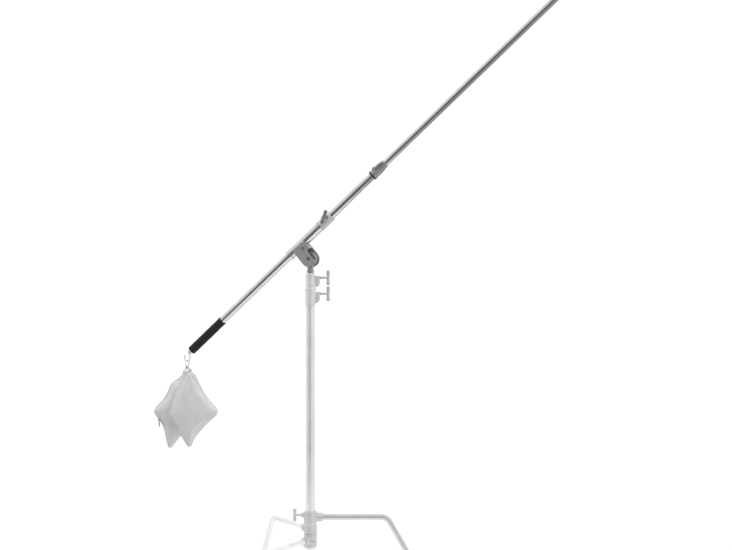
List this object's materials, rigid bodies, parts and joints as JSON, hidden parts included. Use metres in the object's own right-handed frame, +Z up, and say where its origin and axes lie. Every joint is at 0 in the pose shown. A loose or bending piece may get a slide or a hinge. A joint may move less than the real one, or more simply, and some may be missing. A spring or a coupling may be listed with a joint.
{
  "type": "c stand with boom arm",
  "caption": "Three-legged column stand with nested risers, a tilting head, a telescopic boom arm with a foam grip and a hook with a saddle sandbag.",
  "frame": {"origin": "on the floor, on the column's axis", "axes": "+Z up the column, +X along the top leg, the boom rises towards +X and is turned 22 degrees towards -Y"},
  "size_m": [1.6725, 0.8664, 2.3982],
  "materials": {
    "chrome_stand": "bright satin chrome plate on steel tube",
    "chrome_boom": "polished chrome plate on steel tube",
    "cast_stand": "satin plated casting",
    "cast_head": "fine blasted warm grey casting",
    "lock_handles": "satin plated cast handle",
    "dark_handles": "dark grey satin coated handle",
    "dark_fasteners": "black oxide steel",
    "bright_fasteners": "bright steel pin",
    "turned_steel": "turned and plated steel",
    "brass": "turned brass",
    "nylon": "natural nylon",
    "black_plastic": "black moulded plastic",
    "foam": "black closed-cell foam",
    "foot_rubber": "black moulded rubber",
    "bag_fabric": "light grey woven nylon",
    "webbing": "light grey woven webbing",
    "sand": "dry sand"
  },
  "bodies": {
    "stand_base": {"column_tube": "chrome_stand", "column_end_cap": "black_plastic", "bottom_leg_socket": "cast_stand", "bottom_leg": "chrome_stand", "bottom_leg_foot": "foot_rubber", "bottom_leg_pin": "bright_fasteners", "lower_hub_washer": "nylon", "hub_set_screw": "dark_fasteners", "column_collar": "cast_stand", "column_collar_bush": "nylon", "column_clamp_shoe": "brass"},
    "middle_leg": {"middle_leg_socket": "cast_stand", "middle_leg": "chrome_stand", "middle_leg_foot": "foot_rubber", "middle_leg_pin": "bright_fasteners"},
    "sliding_washer": {"upper_hub_washer": "nylon"},
    "top_leg": {"top_leg_socket": "cast_stand", "top_leg": "chrome_stand", "top_leg_foot": "foot_rubber", "top_leg_pin": "bright_fasteners"},
    "base_lock": {"base_lock_handle": "lock_handles"},
    "column_lock": {"column_lock_handle": "lock_handles"},
    "lower_riser": {"lower_riser_tube": "chrome_stand", "lower_riser_bush": "nylon", "riser_collar": "cast_stand", "riser_collar_bush": "nylon", "riser_clamp_shoe": "brass"},
    "riser_lock": {"riser_lock_handle": "lock_handles"},
    "upper_riser": {"upper_riser_tube": "chrome_stand", "upper_riser_bush": "nylon", "riser_spigot": "turned_steel"},
    "head_receiver": {"head_stem": "cast_head", "tilt_friction_washers": "nylon"},
    "head_lock": {"head_lock_screw": "lock_handles"},
    "tilt_head": {"head_bracket": "cast_head", "sleeve_bushes": "nylon", "tilt_pivot_bolt": "dark_fasteners", "saddle_screw": "dark_fasteners", "boom_clamp_collar": "cast_head"},
    "tilt_lock": {"tilt_lock_lever": "dark_handles"},
    "boom_lock": {"boom_lock_handle": "dark_handles"},
    "boom": {"boom_tube": "chrome_boom", "boom_end_plug": "black_plastic", "foam_grip": "foam", "extension_collar": "cast_head", "extension_collar_ring": "black_plastic", "extension_collar_bush": "nylon", "extension_lever_pin": "dark_fasteners", "hook_pin": "bright_fasteners"},
    "extension_lock": {"extension_lock_lever": "dark_handles"},
    "extension": {"extension_tube": "chrome_boom", "extension_bush": "nylon", "tip_stud": "turned_steel"},
    "weight_hook": {"weight_hook": "turned_steel"},
    "sandbag": {"sandbag_ring": "turned_steel", "sandbag_strap": "webbing", "front_pouch": "bag_fabric", "front_sand": "sand", "rear_pouch": "bag_fabric", "rear_sand": "sand"}
  },
  "joints": [
    {"name": "middle_leg_turn", "type": "hinge", "parent": "stand_base", "child": "middle_leg", "pos_m": [0, 0, 0.272], "axis": [0, 0, 1], "range_deg": [0, 115]},
    {"name": "top_leg_slide", "type": "slide", "parent": "stand_base", "child": "sliding_washer", "axis": [0, 0, 1], "range_m": [0, 0.25]},
    {"name": "top_leg_turn", "type": "hinge", "parent": "sliding_washer", "child": "top_leg", "pos_m": [0, 0, 0.32], "axis": [0, 0, 1], "range_deg": [-115, 0]},
    {"name": "base_lock_turn", "type": "hinge", "parent": "top_leg", "child": "base_lock", "pos_m": [-0.06, 0, 0.328], "axis": [-1, 0, 0], "range_deg": [0, 180]},
    {"name": "column_lock_turn", "type": "hinge", "parent": "stand_base", "child": "column_lock", "pos_m": [0.06, 0, 1.213], "axis": [1, 0, 0], "range_deg": [0, 180]},
    {"name": "lower_riser_slide", "type": "slide", "parent": "stand_base", "child": "lower_riser", "axis": [0, 0, 1], "range_m": [0, 0.85]},
    {"name": "riser_lock_turn", "type": "hinge", "parent": "lower_riser", "child": "riser_lock", "pos_m": [0.06, 0, 1.277], "axis": [1, 0, 0], "range_deg": [0, 180]},
    {"name": "upper_riser_slide", "type": "slide", "parent": "lower_riser", "child": "upper_riser", "axis": [0, 0, 1], "range_m": [0, 0.85]},
    {"name": "head_turn", "type": "hinge", "parent": "upper_riser", "child": "head_receiver", "pos_m": [0, 0, 1.303], "axis": [0, 0, 1], "continuous": true},
    {"name": "head_lock_turn", "type": "hinge", "parent": "head_receiver", "child": "head_lock", "pos_m": [0, 0.02, 1.303], "axis": [0, 1, 0], "range_deg": [0, 180]},
    {"name": "boom_tilt", "type": "hinge", "parent": "head_receiver", "child": "tilt_head", "pos_m": [0, 0, 1.352], "axis": [-0.3746, -0.9272, 0], "range_deg": [-62, 24]},
    {"name": "tilt_lock_turn", "type": "hinge", "parent": "tilt_head", "child": "tilt_lock", "pos_m": [0.01124, 0.02782, 1.352], "axis": [0.3746, 0.9272, 0], "range_deg": [0, 60]},
    {"name": "boom_lock_turn", "type": "hinge", "parent": "tilt_head", "child": "boom_lock", "pos_m": [0.05813, -0.07741, 1.51731], "axis": [-0.3746, -0.9272, 0], "range_deg": [0, 180]},
    {"name": "boom_slide", "type": "slide", "parent": "tilt_head", "child": "boom", "axis": [0.6987, -0.2823, 0.6574], "range_m": [-0.22, 0.38]},
    {"name": "extension_lock_turn", "type": "hinge", "parent": "boom", "child": "extension_lock", "pos_m": [0.25416, -0.12126, 1.70085], "axis": [0.3941, -0.615, -0.683], "range_deg": [0, 95]},
    {"name": "extension_slide", "type": "slide", "parent": "boom", "child": "extension", "axis": [0.6987, -0.2823, 0.6574], "range_m": [-0.75, 0.15]},
    {"name": "hook_swing", "type": "hinge", "parent": "boom", "child": "weight_hook", "pos_m": [-0.50655, 0.20466, 0.9684], "axis": [-0.3746, -0.9272, 0], "range_deg": [-30, 66]},
    {"name": "sandbag_swing", "type": "hinge", "parent": "weight_hook", "child": "sandbag", "pos_m": [-0.51814, 0.20934, 0.931], "axis": [0.9272, -0.3746, 0], "range_deg": [-25, 25]}
  ],
  "couplings": [
    {"joint": "hook_swing", "follows": "boom_tilt", "ratio": -1}
  ]
}
